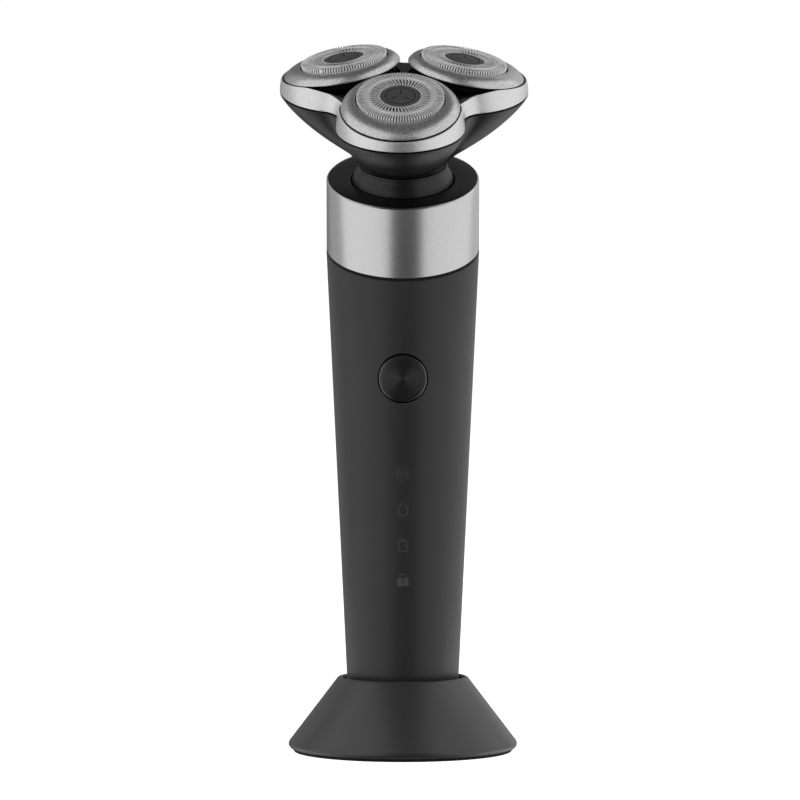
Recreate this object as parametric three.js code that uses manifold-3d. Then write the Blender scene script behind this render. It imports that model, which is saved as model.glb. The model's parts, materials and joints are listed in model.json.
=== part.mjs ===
// Rotary electric shaver standing in its cone-shaped stand.
// Millimetres, +Z up, origin at the centre of the stand's foot. The front, with the button, faces -Y.
import * as THREE from "three";
import { LoftGeometry } from "three/addons/geometries/LoftGeometry.js";
import { mergeVertices } from "three/addons/utils/BufferGeometryUtils.js";
import Module from "manifold-3d";

// ---------- driving dimensions, in millimetres and degrees ----------
const FINE = 32; // sides of the large round pieces
const MEDIUM = 20;
const COARSE = 10;
const HEX = 6;
const FAR = 200; // longer than any piece that is cut

const STAND_HEIGHT = 18.3;
const STAND_CONE_TOP_RADIUS = 17.4; // where the cone meets the rounded rim
const STAND_CONE_TOP = 17.5;
const STAND_CONE_SPREAD = 0.7385; // radius gained for each millimetre down
const SOCKET_RADIUS = 14.5;
const SOCKET_FLOOR = 4.9;
const FOOT_RADIUS = 24.5;
const FOOT_THICKNESS = 1.2;

const HANDLE_BOTTOM = 5.2;
const HANDLE_RADIUS = 14.0; // at HANDLE_RADIUS_HEIGHT
const HANDLE_RADIUS_HEIGHT = 20;
const HANDLE_TAPER = 0.0478; // radius gained for each millimetre up
const HANDLE_WALL = 2.2;

const NECK_SLOPE = 21.3; // the collar's top and the head's axis lean towards the front
const SHELL_TOP = 125; // heights of the oblique planes, taken on the handle's axis
const COLLAR_BOTTOM = 125.9;
const COLLAR_TOP = 143;
const COLLAR_RADIUS = 18.98;
const COLLAR_WALL = 2;
const TOP_PLATE_RADIUS = 18.2;
const TOP_PLATE_HOLE = 13;

const BUTTON_HEIGHT = 93.8;
const BUTTON_RADIUS = 5.9;
const BUTTON_HOLE = 6.25;
const BUTTON_FACE = 17.3; // distance of the face from the handle's axis

const HEAD_TURN = -2; // the head sits turned a little on its socket
const LOBE_DISTANCE = 17.45; // head axis to the centre of a lobe
const LOBE_RADIUS = 15.8;
const VALLEY_RADIUS = 18.5; // head axis to the outline between two lobes
const BOWL_BOTTOM = 4.2; // heights above the neck plane, along the head's axis
const BOWL_TOP = 19.6;
const BOWL_BOTTOM_RADIUS = 11;
const BOWL_WALL = 1.5;
const BAND_BOTTOM = 19.9;
const BAND_WALL = 0.9;
const BAND_DRAFT = 0.5; // the band draws inwards by this towards its top
const DECK_FLOOR = 20.3;
const DECK_TOP = 24;
const WELL_RADIUS = 13.9; // each dish floats in a round well of the deck
const WELL_OFFSET = 0.6;
const DISH_DISTANCE = 16.8; // head axis to the guard's axis, in the plane of the dish's rim
const DISH_HEIGHT = 25.75;
const DISH_LEAN = 11.3; // each dish leans outwards
const DISH_RADIUS = 14.6;
const DISH_BORE = 11.9;
const RIM_OFFSET = 1; // the rim's centre lies further out than the guard's axis
const DISH_GAP = 0.5; // leaves room for the dish to tilt outwards over the band
const GUARD_RADIUS = 10.75;
const GUARD_HEIGHT = 3; // dish rim up to the guard's face
const BALL_DEPTH = 3.3; // dish rim down to the ball end of its drive pin

const CENTRE_TEETH = 16;
const CUTTER_TEETH = 20;
const GEAR_BOTTOM = 16.6;
const GEAR_TOP = 18.6;

// ---------- helpers ----------
const wasm = await Module();
wasm.setup();
const radians = THREE.MathUtils.degToRad;

const material = (color, roughness, metalness) =>
  new THREE.MeshStandardMaterial({ color, roughness, metalness });

const finish = {
  softTouch: material(0x35363a, 0.75, 0),
  standPlastic: material(0x303134, 0.7, 0),
  darkPlastic: material(0x232427, 0.55, 0),
  blackPlastic: material(0x111214, 0.35, 0),
  innerPlastic: material(0x4a4d52, 0.6, 0),
  satinSilver: material(0xb9bbbd, 0.32, 1),
  grainSilver: material(0xc6c7c9, 0.45, 0.9),
  dishSilver: material(0xa9abad, 0.4, 0.9),
  guardSteel: material(0xd2d4d6, 0.18, 1),
  steel: material(0x8d9094, 0.35, 1),
  spunBlack: material(0x1a1b1d, 0.3, 0.8),
  brass: material(0xb58a3c, 0.35, 1),
  boardGreen: material(0x1d4a33, 0.5, 0.1),
  cellBlue: material(0x2f4f7a, 0.4, 0.1),
  rubber: material(0x1c1c1d, 0.9, 0),
  nylon: material(0xd9d7cf, 0.5, 0),
};

function toSolid(geometry) {
  const bare = geometry.clone();
  bare.deleteAttribute("normal");
  bare.deleteAttribute("uv");
  const merged = mergeVertices(bare, 1e-4);
  return new wasm.Manifold(
    new wasm.Mesh({
      numProp: 3,
      vertProperties: merged.attributes.position.array,
      triVerts: new Uint32Array(merged.index.array),
    }),
  );
}

function toGeometry(solid) {
  const mesh = solid.getMesh();
  const geometry = new THREE.BufferGeometry();
  geometry.setAttribute("position", new THREE.BufferAttribute(mesh.vertProperties, 3));
  geometry.setIndex(new THREE.BufferAttribute(mesh.triVerts, 1));
  geometry.computeVertexNormals();
  return geometry;
}

const join = (first, ...rest) =>
  toGeometry(rest.reduce((sum, g) => sum.add(toSolid(g)), toSolid(first)));
const cut = (first, ...rest) =>
  toGeometry(rest.reduce((left, g) => left.subtract(toSolid(g)), toSolid(first)));
const common = (first, second) => toGeometry(toSolid(first).intersect(toSolid(second)));

// A profile of [radius, height] points, counterclockwise, turned round the Z axis.
function turned(profile, sides) {
  const points = profile.map(([r, z]) => new THREE.Vector2(r, z));
  const [start, end] = [points[0], points.at(-1)];
  if (start.x > 0 || end.x > 0) points.push(start.clone());
  return new THREE.LatheGeometry(points, sides).rotateX(Math.PI / 2);
}

const ring = (inner, outer, bottom, top, sides) =>
  turned([[inner, bottom], [outer, bottom], [outer, top], [inner, top]], sides);
const disc = (radius, bottom, top, sides) =>
  turned([[0, bottom], [radius, bottom], [radius, top], [0, top]], sides);
const box = (x0, x1, y0, y1, z0, z1) =>
  new THREE.BoxGeometry(x1 - x0, y1 - y0, z1 - z0)
    .translate((x0 + x1) / 2, (y0 + y1) / 2, (z0 + z1) / 2);

// Turns a piece made along +Z so that it points along +X, or to the front (-Y).
const alongX = (geometry) => geometry.rotateY(Math.PI / 2);
const alongFront = (geometry) => geometry.rotateX(Math.PI / 2);

// The part of a piece between two oblique planes that cross the handle's axis at the given heights.
function betweenPlanes(geometry, low, high) {
  const thickness = (high - low) * Math.cos(radians(NECK_SLOPE));
  const slab = new THREE.BoxGeometry(FAR, FAR, thickness)
    .translate(0, 0, thickness / 2)
    .rotateX(radians(NECK_SLOPE))
    .translate(0, 0, low);
  return common(geometry, slab);
}

const handleRadius = (z) => HANDLE_RADIUS + (z - HANDLE_RADIUS_HEIGHT) * HANDLE_TAPER;
const standRadius = (z) => STAND_CONE_TOP_RADIUS + (STAND_CONE_TOP - z) * STAND_CONE_SPREAD;

// ---------- groups ----------
const shaver = new THREE.Group();

function place(parent, name, geometry, look) {
  const mesh = new THREE.Mesh(geometry, look);
  mesh.name = name;
  parent.add(mesh);
}

const neck = new THREE.Group();
neck.position.z = COLLAR_TOP;
neck.rotation.x = radians(NECK_SLOPE);
shaver.add(neck);

const head = new THREE.Group();
head.rotation.z = radians(HEAD_TURN);
neck.add(head);

// ---------- stand ----------
function standShell() {
  const innerWall = 2.4;
  const cavityTop = 15.3;
  const socketWall = 1.4;
  return turned(
    [
      [0, 3.3],
      [SOCKET_RADIUS + socketWall, 3.3],
      [SOCKET_RADIUS + socketWall, cavityTop],
      [standRadius(cavityTop) - innerWall, cavityTop],
      [standRadius(1.95) - innerWall, 1.95],
      [standRadius(1.95) - innerWall, 0.5],
      [27.3, 0.5],
      [28.2, 0.9],
      [28.6, 1.9],
      [standRadius(2.9), 2.9],
      [standRadius(16.8), 16.8],
      [17.25, 17.8],
      [16.4, STAND_HEIGHT],
      [15.2, STAND_HEIGHT],
      [SOCKET_RADIUS, 17.7],
      [SOCKET_RADIUS, SOCKET_FLOOR],
      [0, SOCKET_FLOOR],
    ],
    FINE,
  );
}

place(shaver, "stand_shell", standShell(), finish.standPlastic);
place(
  shaver,
  "stand_ballast",
  turned([[16.3, 3.4], [24.8, 3.4], [20.9, 8.6], [16.3, 8.6]], MEDIUM),
  finish.steel,
);
place(
  shaver,
  "stand_base_plate",
  turned([[0, 1.5], [24.8, 1.5], [24.8, 0.6], [26.1, 0.6], [26.1, 1.7], [25.1, 3], [0, 3]], MEDIUM),
  finish.darkPlastic,
);
place(shaver, "stand_foot_pad", disc(FOOT_RADIUS, 0, FOOT_THICKNESS, FINE), finish.rubber);

// ---------- handle: shell, bottom and collar ----------
function handleShell() {
  const reach = COLLAR_TOP;
  const tube = turned(
    [
      [handleRadius(HANDLE_BOTTOM) - HANDLE_WALL, HANDLE_BOTTOM],
      [handleRadius(HANDLE_BOTTOM) - 0.6, HANDLE_BOTTOM],
      [handleRadius(HANDLE_BOTTOM + 0.6), HANDLE_BOTTOM + 0.6],
      [handleRadius(reach), reach],
      [handleRadius(reach) - HANDLE_WALL, reach],
    ],
    FINE,
  );
  const buttonHole = alongFront(disc(BUTTON_HOLE, 8, 25, MEDIUM)).translate(0, 0, BUTTON_HEIGHT);
  return cut(betweenPlanes(tube, -FAR / 2, SHELL_TOP), buttonHole);
}

function slotOutline(halfWidth, halfDepth) {
  const flat = halfWidth - halfDepth;
  return new THREE.Shape()
    .absarc(flat, 0, halfDepth, -Math.PI / 2, Math.PI / 2)
    .absarc(-flat, 0, halfDepth, Math.PI / 2, (3 * Math.PI) / 2);
}

const slotBlock = (halfWidth, halfDepth, bottom, top) =>
  new THREE.ExtrudeGeometry(slotOutline(halfWidth, halfDepth), {
    depth: top - bottom,
    bevelEnabled: false,
    curveSegments: 5,
  }).translate(0, 0, bottom);

function chargingSocket() {
  const shell = cut(slotBlock(4.47, 1.6, 5.5, 12.4), slotBlock(4.15, 1.28, 5, 11.8));
  return join(shell, box(-3.3, 3.3, -0.35, 0.35, 6.4, 12.1));
}

place(shaver, "handle_shell", handleShell(), finish.softTouch);
place(
  shaver,
  "bottom_cap",
  cut(disc(10.7, HANDLE_BOTTOM + 0.1, 7.2, MEDIUM), slotBlock(4.85, 1.95, 4, 8)),
  finish.darkPlastic,
);
place(shaver, "charging_socket", chargingSocket(), finish.steel);
place(shaver, "charge_board", box(-5.5, 5.5, 2.0, 3.0, 7.6, 13), finish.boardGreen);
place(
  shaver,
  "collar_gasket",
  betweenPlanes(ring(16.4, 18.3, 100, 160, FINE), SHELL_TOP + 0.25, COLLAR_BOTTOM - 0.25),
  finish.rubber,
);
place(
  shaver,
  "collar_core",
  betweenPlanes(ring(15.7, 16.7, 100, 160, MEDIUM), COLLAR_BOTTOM + 0.5, 134.5),
  finish.innerPlastic,
);

function collarRing() {
  const plateSeat = 1.7;
  const sleeve = ring(COLLAR_RADIUS - COLLAR_WALL, COLLAR_RADIUS, 100, 170, FINE);
  const seat = disc(TOP_PLATE_RADIUS + 0.3, 100, 170, FINE);
  return cut(
    betweenPlanes(sleeve, COLLAR_BOTTOM, COLLAR_TOP),
    betweenPlanes(seat, COLLAR_TOP - plateSeat, COLLAR_TOP + 5),
  );
}

function topPlate() {
  const plate = betweenPlanes(
    disc(TOP_PLATE_RADIUS, 100, 170, FINE),
    COLLAR_TOP - 1.4,
    COLLAR_TOP - 0.15,
  );
  const hole = disc(TOP_PLATE_HOLE, -20, 20, FINE)
    .rotateX(radians(NECK_SLOPE))
    .translate(0, 0, COLLAR_TOP);
  return cut(plate, hole);
}

place(shaver, "collar_ring", collarRing(), finish.satinSilver);
place(shaver, "top_plate", topPlate(), finish.blackPlastic);

// ---------- handle: battery, boards and button ----------
const CELL_RADIUS = 7;
const CELL_SETBACK = 3.8;
const BOARD_BACK = 7.4; // distances in front of the handle's axis
const BOARD_FRONT = 8.6;

function innerFrame() {
  const spine = box(-8, 8, -6.6, -5.2, 13.4, 97.5);
  const cellBottomWall = box(-7, 7, -5.6, 8, 13.4, 14.8);
  const cellTopWall = box(-8, 8, -5.6, 9, 66.2, 67.6);
  const motorFoot = box(-7, 7, -5.6, 7, 96, 97.5);
  return join(spine, cellBottomWall, cellTopWall, motorFoot);
}

function batteryCell() {
  return turned(
    [[0, 15.3], [CELL_RADIUS, 15.3], [CELL_RADIUS, 64.6], [2.6, 64.6], [2.6, 65.6], [0, 65.6]],
    MEDIUM,
  ).translate(0, CELL_SETBACK, 0);
}

const ICON_HEIGHTS = [43.7, 52.5, 61.6, 70.3];

function mainBoard() {
  const board = box(-7, 7, -BOARD_FRONT, -BOARD_BACK, 16, 97.5);
  const chip = box(-3, 3, -BOARD_FRONT - 0.9, -BOARD_FRONT + 0.3, 22, 28);
  const coil = box(-5.5, -1.5, -BOARD_FRONT - 1.6, -BOARD_FRONT + 0.3, 80, 84);
  const leds = ICON_HEIGHTS.map((z) =>
    box(-0.8, 0.8, -BOARD_FRONT - 0.7, -BOARD_FRONT + 0.3, z - 0.5, z + 0.5),
  );
  return join(board, chip, coil, ...leds);
}

function lightGuide() {
  const bar = box(-3.6, 3.6, -12, -BOARD_FRONT - 0.3, 37, 75);
  const wells = ICON_HEIGHTS.map((z) => box(-2.4, 2.4, -13, -8, z - 2.4, z + 2.4));
  return cut(bar, ...wells);
}

function tactSwitch() {
  const body = box(-3, 3, -12, -BOARD_FRONT - 0.3, BUTTON_HEIGHT - 3, BUTTON_HEIGHT + 3);
  const plunger = alongFront(disc(1.6, 11.5, 13, COARSE)).translate(0, 0, BUTTON_HEIGHT);
  return join(body, plunger);
}

place(shaver, "inner_frame", innerFrame(), finish.innerPlastic);
place(shaver, "battery_cell", batteryCell(), finish.cellBlue);
place(shaver, "main_board", mainBoard(), finish.boardGreen);
place(shaver, "icon_light_guide", lightGuide(), finish.nylon);
place(shaver, "tact_switch", tactSwitch(), finish.blackPlastic);
place(
  shaver,
  "button_guide",
  alongFront(ring(2, 5.9, 13.9, 14.9, MEDIUM)).translate(0, 0, BUTTON_HEIGHT),
  finish.darkPlastic,
);

function buttonCap() {
  const stemEnd = 13.75;
  const capBack = 15.6;
  return alongFront(
    turned(
      [
        [0, stemEnd],
        [1.5, stemEnd],
        [1.5, capBack],
        [BUTTON_RADIUS, capBack],
        [BUTTON_RADIUS, BUTTON_FACE - 0.35],
        [BUTTON_RADIUS - 0.35, BUTTON_FACE],
        [0, BUTTON_FACE],
      ],
      MEDIUM,
    ),
  ).translate(0, 0, BUTTON_HEIGHT);
}

place(shaver, "button_cap", buttonCap(), finish.spunBlack);

// ---------- motor and drive ----------
const MOTOR_RADIUS = 10;
const MOTOR_BOTTOM = 101;
const MOTOR_TOP = 125;
const SHAFT_RADIUS = 1;

place(
  shaver,
  "motor_can",
  turned(
    [
      [MOTOR_RADIUS - 0.8, MOTOR_BOTTOM],
      [MOTOR_RADIUS, MOTOR_BOTTOM],
      [MOTOR_RADIUS, MOTOR_TOP],
      [3.2, MOTOR_TOP],
      [3.2, MOTOR_TOP + 1.6],
      [SHAFT_RADIUS + 0.3, MOTOR_TOP + 1.6],
      [SHAFT_RADIUS + 0.3, MOTOR_TOP - 0.8],
      [MOTOR_RADIUS - 0.8, MOTOR_TOP - 0.8],
    ],
    MEDIUM,
  ),
  finish.steel,
);
place(shaver, "motor_end_cap", disc(MOTOR_RADIUS, 98.2, 100.7, MEDIUM), finish.blackPlastic);
place(
  shaver,
  "motor_rotor",
  turned(
    [
      [0, 101.2],
      [SHAFT_RADIUS, 101.2],
      [SHAFT_RADIUS, 103.5],
      [7.8, 103.5],
      [7.8, 121.5],
      [SHAFT_RADIUS, 121.5],
      [SHAFT_RADIUS, 135],
      [0, 135],
    ],
    COARSE,
  ),
  finish.steel,
);

const SCREW_OFFSET = 6;
function motorMount() {
  const plate = ring(3.6, 15.2, 127, 128.6, MEDIUM);
  const holes = [-SCREW_OFFSET, SCREW_OFFSET].map((x) =>
    disc(1.3, 120, 130, COARSE).translate(x, 0, 0),
  );
  return cut(plate, ...holes);
}
place(shaver, "motor_mount", motorMount(), finish.innerPlastic);
[-SCREW_OFFSET, SCREW_OFFSET].forEach((x, index) =>
  place(
    shaver,
    "motor_screw_" + (index + 1),
    turned(
      [[0, 125.4], [1, 125.4], [1, 128.9], [1.9, 128.9], [1.9, 130], [0, 130]],
      COARSE,
    ).translate(x, 0, 0),
    finish.steel,
  ),
);
place(
  shaver,
  "drive_coupler",
  turned(
    [
      [0, 135.4],
      [SHAFT_RADIUS + 0.3, 135.4],
      [SHAFT_RADIUS + 0.3, 130.6],
      [2.8, 130.6],
      [2.8, 136.4],
      [1.2, 138],
      [1.2, 141.4],
      [1.9, 142.3],
      [2.1, COLLAR_TOP],
      [1.7, 144.3],
      [0, 145],
    ],
    COARSE,
  ),
  finish.steel,
);
place(shaver, "drive_seal", ring(3.1, 3.9, 135.6, 138.4, MEDIUM), finish.rubber);

// ---------- neck: the head tilts on a gimbal about the drive's ball end ----------
const PIN_RADIUS = 0.7;
const PIN_HOLE = 1;

function neckMount() {
  const plate = betweenPlanes(disc(16.7, 100, 170, MEDIUM), 136, 138);
  const opening = disc(4.2, 100, 170, MEDIUM);
  const posts = [-1, 1].map((side) =>
    box(Math.min(side * 8.7, side * 9.6), Math.max(side * 8.7, side * 9.6), -1.8, 1.8, -5.2, 1.6),
  );
  const pinHole = alongX(disc(PIN_HOLE, -FAR / 2, FAR / 2, COARSE));
  const standing = cut(join(...posts), pinHole)
    .rotateX(radians(NECK_SLOPE))
    .translate(0, 0, COLLAR_TOP);
  return join(cut(plate, opening), standing);
}
place(shaver, "neck_mount", neckMount(), finish.innerPlastic);

function gimbalRing() {
  const outerPins = [-1, 1].map((side) =>
    alongX(disc(PIN_RADIUS, 8, 9.5, COARSE)).scale(side, side, 1),
  );
  const innerPins = [-1, 1].map((side) =>
    alongFront(disc(PIN_RADIUS, 5.2, 7.2, COARSE)).scale(side, side, 1),
  );
  return join(ring(6.9, 8.3, -1.1, 1.1, MEDIUM), ...outerPins, ...innerPins);
}
place(neck, "gimbal_ring", gimbalRing(), finish.steel);

function headSocket() {
  const tube = ring(4.6, 6.4, -2.2, 9, MEDIUM);
  return cut(tube, alongFront(disc(PIN_HOLE, -FAR / 2, FAR / 2, COARSE)));
}
place(neck, "head_socket", headSocket(), finish.innerPlastic);

place(
  neck,
  "neck_skirt",
  turned(
    [
      [11.4, -3],
      [12.3, -3],
      [12.65, -1.2],
      [12.68, 0],
      [12.35, 0.9],
      [11.65, 2],
      [11.15, 3],
      [11, 3.9],
      [6.7, 3.9],
      [6.7, 3.1],
      [10, 3.1],
      [10.9, 1.8],
      [11.4, 0],
    ],
    FINE,
  ),
  finish.darkPlastic,
);

// ---------- head: three-lobed housing ----------
const LOBES = [0, 1, 2];
const LOBE_TURN = 120;

// The outline's concave corner between two lobes is an arc that touches both lobe circles.
const VALLEY_ALONG = LOBE_DISTANCE * Math.cos(radians(LOBE_TURN / 2));
const VALLEY_ACROSS = LOBE_DISTANCE * Math.sin(radians(LOBE_TURN / 2));
const VALLEY_REACH = VALLEY_RADIUS - VALLEY_ALONG;
const FILLET_RADIUS =
  (VALLEY_REACH ** 2 + VALLEY_ACROSS ** 2 - LOBE_RADIUS ** 2) / (2 * (LOBE_RADIUS - VALLEY_REACH));
// Half of the angle that a lobe's arc spans, and of the angle that a corner's arc spans.
const CORNER_ANGLE = Math.atan2(VALLEY_ACROSS, VALLEY_REACH + FILLET_RADIUS);
const LOBE_ANGLE = radians(LOBE_TURN / 2) + CORNER_ANGLE;

// The three-lobed outline, counterclockwise, from the corner before the front lobe.
function lobedOutline(lobeSteps = 12, cornerSteps = 4) {
  const points = [];
  for (const lobe of LOBES) {
    const facing = radians(-90 + lobe * LOBE_TURN);
    const centre = new THREE.Vector2(Math.cos(facing), Math.sin(facing)).multiplyScalar(
      LOBE_DISTANCE,
    );
    for (let i = 0; i < lobeSteps; i++) {
      const angle = facing + LOBE_ANGLE * ((2 * i) / (lobeSteps - 1) - 1);
      points.push(
        new THREE.Vector2(
          centre.x + LOBE_RADIUS * Math.cos(angle),
          centre.y + LOBE_RADIUS * Math.sin(angle),
        ),
      );
    }
    const valley = facing + radians(LOBE_TURN / 2);
    const away = VALLEY_RADIUS + FILLET_RADIUS;
    for (let i = 1; i <= cornerSteps; i++) {
      const angle = valley + Math.PI + CORNER_ANGLE * (1 - (2 * i) / (cornerSteps + 1));
      points.push(
        new THREE.Vector2(
          away * Math.cos(valley) + FILLET_RADIUS * Math.cos(angle),
          away * Math.sin(valley) + FILLET_RADIUS * Math.sin(angle),
        ),
      );
    }
  }
  return points;
}
const OUTLINE = lobedOutline();

// The bowl's section at a height: round at its bottom, three-lobed at its top.
function bowlSection(height, inset) {
  const rise = Math.min(1, (height - BOWL_BOTTOM) / (BOWL_TOP - BOWL_BOTTOM));
  const spread = (1 - (1 - rise) ** 1.2) ** 0.61;
  return OUTLINE.map((point) => {
    const full = point.length();
    const lobe = THREE.MathUtils.lerp(4.2, full, spread);
    // the lobes grow smoothly out of the round foot
    const radius = (lobe ** 6 + BOWL_BOTTOM_RADIUS ** 6) ** (1 / 6) - inset;
    return new THREE.Vector3((point.x / full) * radius, (point.y / full) * radius, height);
  });
}

const closedLoft = (sections) => new LoftGeometry([...sections, sections[0]]);

function lowerHousing() {
  const floor = BOWL_BOTTOM + BOWL_WALL;
  const opening = 6.8;
  const flat = (radius, height) =>
    OUTLINE.map((p) => new THREE.Vector3(p.x, p.y, 0).setLength(radius).setZ(height));
  return closedLoft([
    flat(opening, BOWL_BOTTOM),
    bowlSection(BOWL_BOTTOM, 0),
    bowlSection(6.5, 0),
    bowlSection(11, 0),
    bowlSection(16, 0),
    bowlSection(BOWL_TOP, 0),
    bowlSection(BOWL_TOP, BOWL_WALL),
    bowlSection(16, BOWL_WALL),
    bowlSection(11, BOWL_WALL),
    bowlSection(floor + 0.6, BOWL_WALL),
    flat(opening, floor),
  ]);
}

// The band's upper edge follows the planes of the leaning dishes, and dips between two lobes.
function bandTop(point) {
  const angle = Math.atan2(point.y, point.x) + Math.PI / 2;
  const turn = radians(LOBE_TURN);
  const fromLobe = Math.abs(angle - turn * Math.round(angle / turn));
  const outward = point.length() * Math.cos(fromLobe) - DISH_DISTANCE;
  const dip = 3.2 * THREE.MathUtils.smoothstep(fromLobe, radians(36), radians(60));
  return DISH_HEIGHT - DISH_GAP - outward * Math.tan(radians(DISH_LEAN)) - dip;
}

function trimBand() {
  const edge = (inset, heightOf) =>
    OUTLINE.map((p) => {
      const level = new THREE.Vector3(p.x, p.y, 0);
      return level.setLength(p.length() - inset).setZ(heightOf(p));
    });
  return closedLoft([
    edge(0, () => BAND_BOTTOM),
    edge(BAND_DRAFT, bandTop),
    edge(BAND_DRAFT + BAND_WALL, bandTop),
    edge(BAND_WALL, () => BAND_BOTTOM),
  ]);
}

const BALL_DISTANCE = DISH_DISTANCE - BALL_DEPTH * Math.sin(radians(DISH_LEAN));
const BALL_HEIGHT = DISH_HEIGHT - BALL_DEPTH * Math.cos(radians(DISH_LEAN));

// A flat plate of the bowl's section at a height, with a round hole under each dish.
function lobedPlate(bottom, top, inset, sectionHeight, holeRadius) {
  const outline = bowlSection(sectionHeight, inset);
  const shape = new THREE.Shape(outline.map((p) => new THREE.Vector2(p.x, p.y)));
  for (const lobe of LOBES) {
    const facing = radians(-90 + lobe * LOBE_TURN);
    const centre = new THREE.Vector2(Math.cos(facing), Math.sin(facing)).multiplyScalar(
      BALL_DISTANCE,
    );
    shape.holes.push(
      new THREE.Path().absarc(centre.x, centre.y, holeRadius, 0, 2 * Math.PI, true),
    );
  }
  return new THREE.ExtrudeGeometry(shape, {
    depth: top - bottom,
    bevelEnabled: false,
    curveSegments: 8,
  }).translate(0, 0, bottom);
}

function gearPlate() {
  return cut(lobedPlate(14, 16, BOWL_WALL + 1.1, 14, 1.7), disc(4.3, 0, 30, MEDIUM));
}

// Moves a piece made round a dish's own axis, with the rim plane at 0, to its place on the head.
function atDish(geometry, lobe) {
  return geometry
    .rotateX(radians(DISH_LEAN))
    .translate(0, -DISH_DISTANCE, DISH_HEIGHT)
    .rotateZ(radians(lobe * LOBE_TURN));
}

// The deck closes the housing over the gears. Its upper block leaves a well for each dish.
function headDeck() {
  const blockInset = 1.75;
  const rimClearance = 0.5;
  const block = new THREE.ExtrudeGeometry(
    new THREE.Shape(bowlSection(BOWL_TOP, blockInset).map((p) => new THREE.Vector2(p.x, p.y))),
    { depth: DECK_TOP - BOWL_TOP - 0.4, bevelEnabled: false },
  ).translate(0, 0, BOWL_TOP + 0.4);
  const wells = LOBES.flatMap((lobe) => [
    atDish(disc(WELL_RADIUS, -12, 20, MEDIUM).translate(0, -WELL_OFFSET, 0), lobe),
    atDish(
      disc(DISH_RADIUS + rimClearance, -2.4, 20, MEDIUM).translate(0, -RIM_OFFSET, 0),
      lobe,
    ),
  ]);
  return join(lobedPlate(DECK_FLOOR - 1.2, DECK_FLOOR, 2.8, BOWL_TOP, 5.2), cut(block, ...wells));
}

place(head, "head_lower_housing", lowerHousing(), finish.darkPlastic);
place(head, "trim_band", trimBand(), finish.grainSilver);
place(head, "head_latch", ring(7, 8.8, 6.5, 9, MEDIUM), finish.nylon);
place(head, "gear_plate", gearPlate(), finish.innerPlastic);
place(head, "head_deck", headDeck(), finish.darkPlastic);

// ---------- head: gears ----------
const CENTRE_PITCH_RADIUS = (BALL_DISTANCE * CENTRE_TEETH) / (CENTRE_TEETH + CUTTER_TEETH);
const CUTTER_PITCH_RADIUS = BALL_DISTANCE - CENTRE_PITCH_RADIUS;

// A spur gear with one tooth centred on firstTooth, an angle in radians.
function spurGear(teeth, pitchRadius, firstTooth) {
  const pitch = (2 * Math.PI) / teeth;
  const root = pitchRadius - 0.85;
  const tip = pitchRadius + 0.5;
  const corners = [[-0.3, root], [-0.13, tip], [0.13, tip], [0.3, root]];
  const points = [];
  for (let tooth = 0; tooth < teeth; tooth++) {
    for (const [share, radius] of corners) {
      const angle = firstTooth + (tooth + share) * pitch;
      points.push(new THREE.Vector2(radius * Math.cos(angle), radius * Math.sin(angle)));
    }
  }
  return new THREE.ExtrudeGeometry(new THREE.Shape(points), {
    depth: GEAR_TOP - GEAR_BOTTOM,
    bevelEnabled: false,
  }).translate(0, 0, GEAR_BOTTOM);
}

function centreGear() {
  const spindle = disc(3.9, -1.2, GEAR_BOTTOM + 0.5, COARSE);
  const driveHole = disc(2.5, -5, 6, HEX);
  return cut(join(spurGear(CENTRE_TEETH, CENTRE_PITCH_RADIUS, 0), spindle), driveHole);
}

// The tooth angle at which a cutter gear meshes with the centre gear's teeth.
function meshingAngle(facing) {
  const pitch = (2 * Math.PI) / CENTRE_TEETH;
  const pastTooth = THREE.MathUtils.euclideanModulo(facing, pitch);
  const halfPitch = Math.PI / CUTTER_TEETH;
  return facing + Math.PI + (pastTooth * CENTRE_PITCH_RADIUS) / CUTTER_PITCH_RADIUS + halfPitch;
}

function cutterGear(facing) {
  const pin = turned(
    [
      [0, 13.5],
      [1.3, 13.5],
      [1.3, GEAR_TOP + 0.4],
      [1.1, GEAR_TOP + 0.4],
      [1.1, BALL_HEIGHT - 1.4],
      [1.8, BALL_HEIGHT - 0.5],
      [1.8, BALL_HEIGHT + 0.5],
      [1, BALL_HEIGHT + 1.5],
      [0, BALL_HEIGHT + 1.5],
    ],
    HEX,
  );
  return join(spurGear(CUTTER_TEETH, CUTTER_PITCH_RADIUS, meshingAngle(facing)), pin);
}

class Helix extends THREE.Curve {
  constructor(radius, bottom, height, turns) {
    super();
    Object.assign(this, { radius, bottom, height, turns });
  }
  getPoint(t, target = new THREE.Vector3()) {
    const angle = 2 * Math.PI * this.turns * t;
    return target.set(
      this.radius * Math.cos(angle),
      this.radius * Math.sin(angle),
      this.bottom + this.height * t,
    );
  }
}

function pinSpring() {
  const wireRadius = 0.22;
  const corners = Array.from({ length: HEX }, (_, i) =>
    new THREE.Vector2(wireRadius, 0).rotateAround(new THREE.Vector2(), (i * 2 * Math.PI) / HEX),
  );
  return new THREE.ExtrudeGeometry(new THREE.Shape(corners), {
    steps: 16,
    extrudePath: new Helix(1.75, GEAR_TOP + 0.5, 1.3, 1.75),
  });
}

place(head, "centre_gear", centreGear(), finish.brass);

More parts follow.
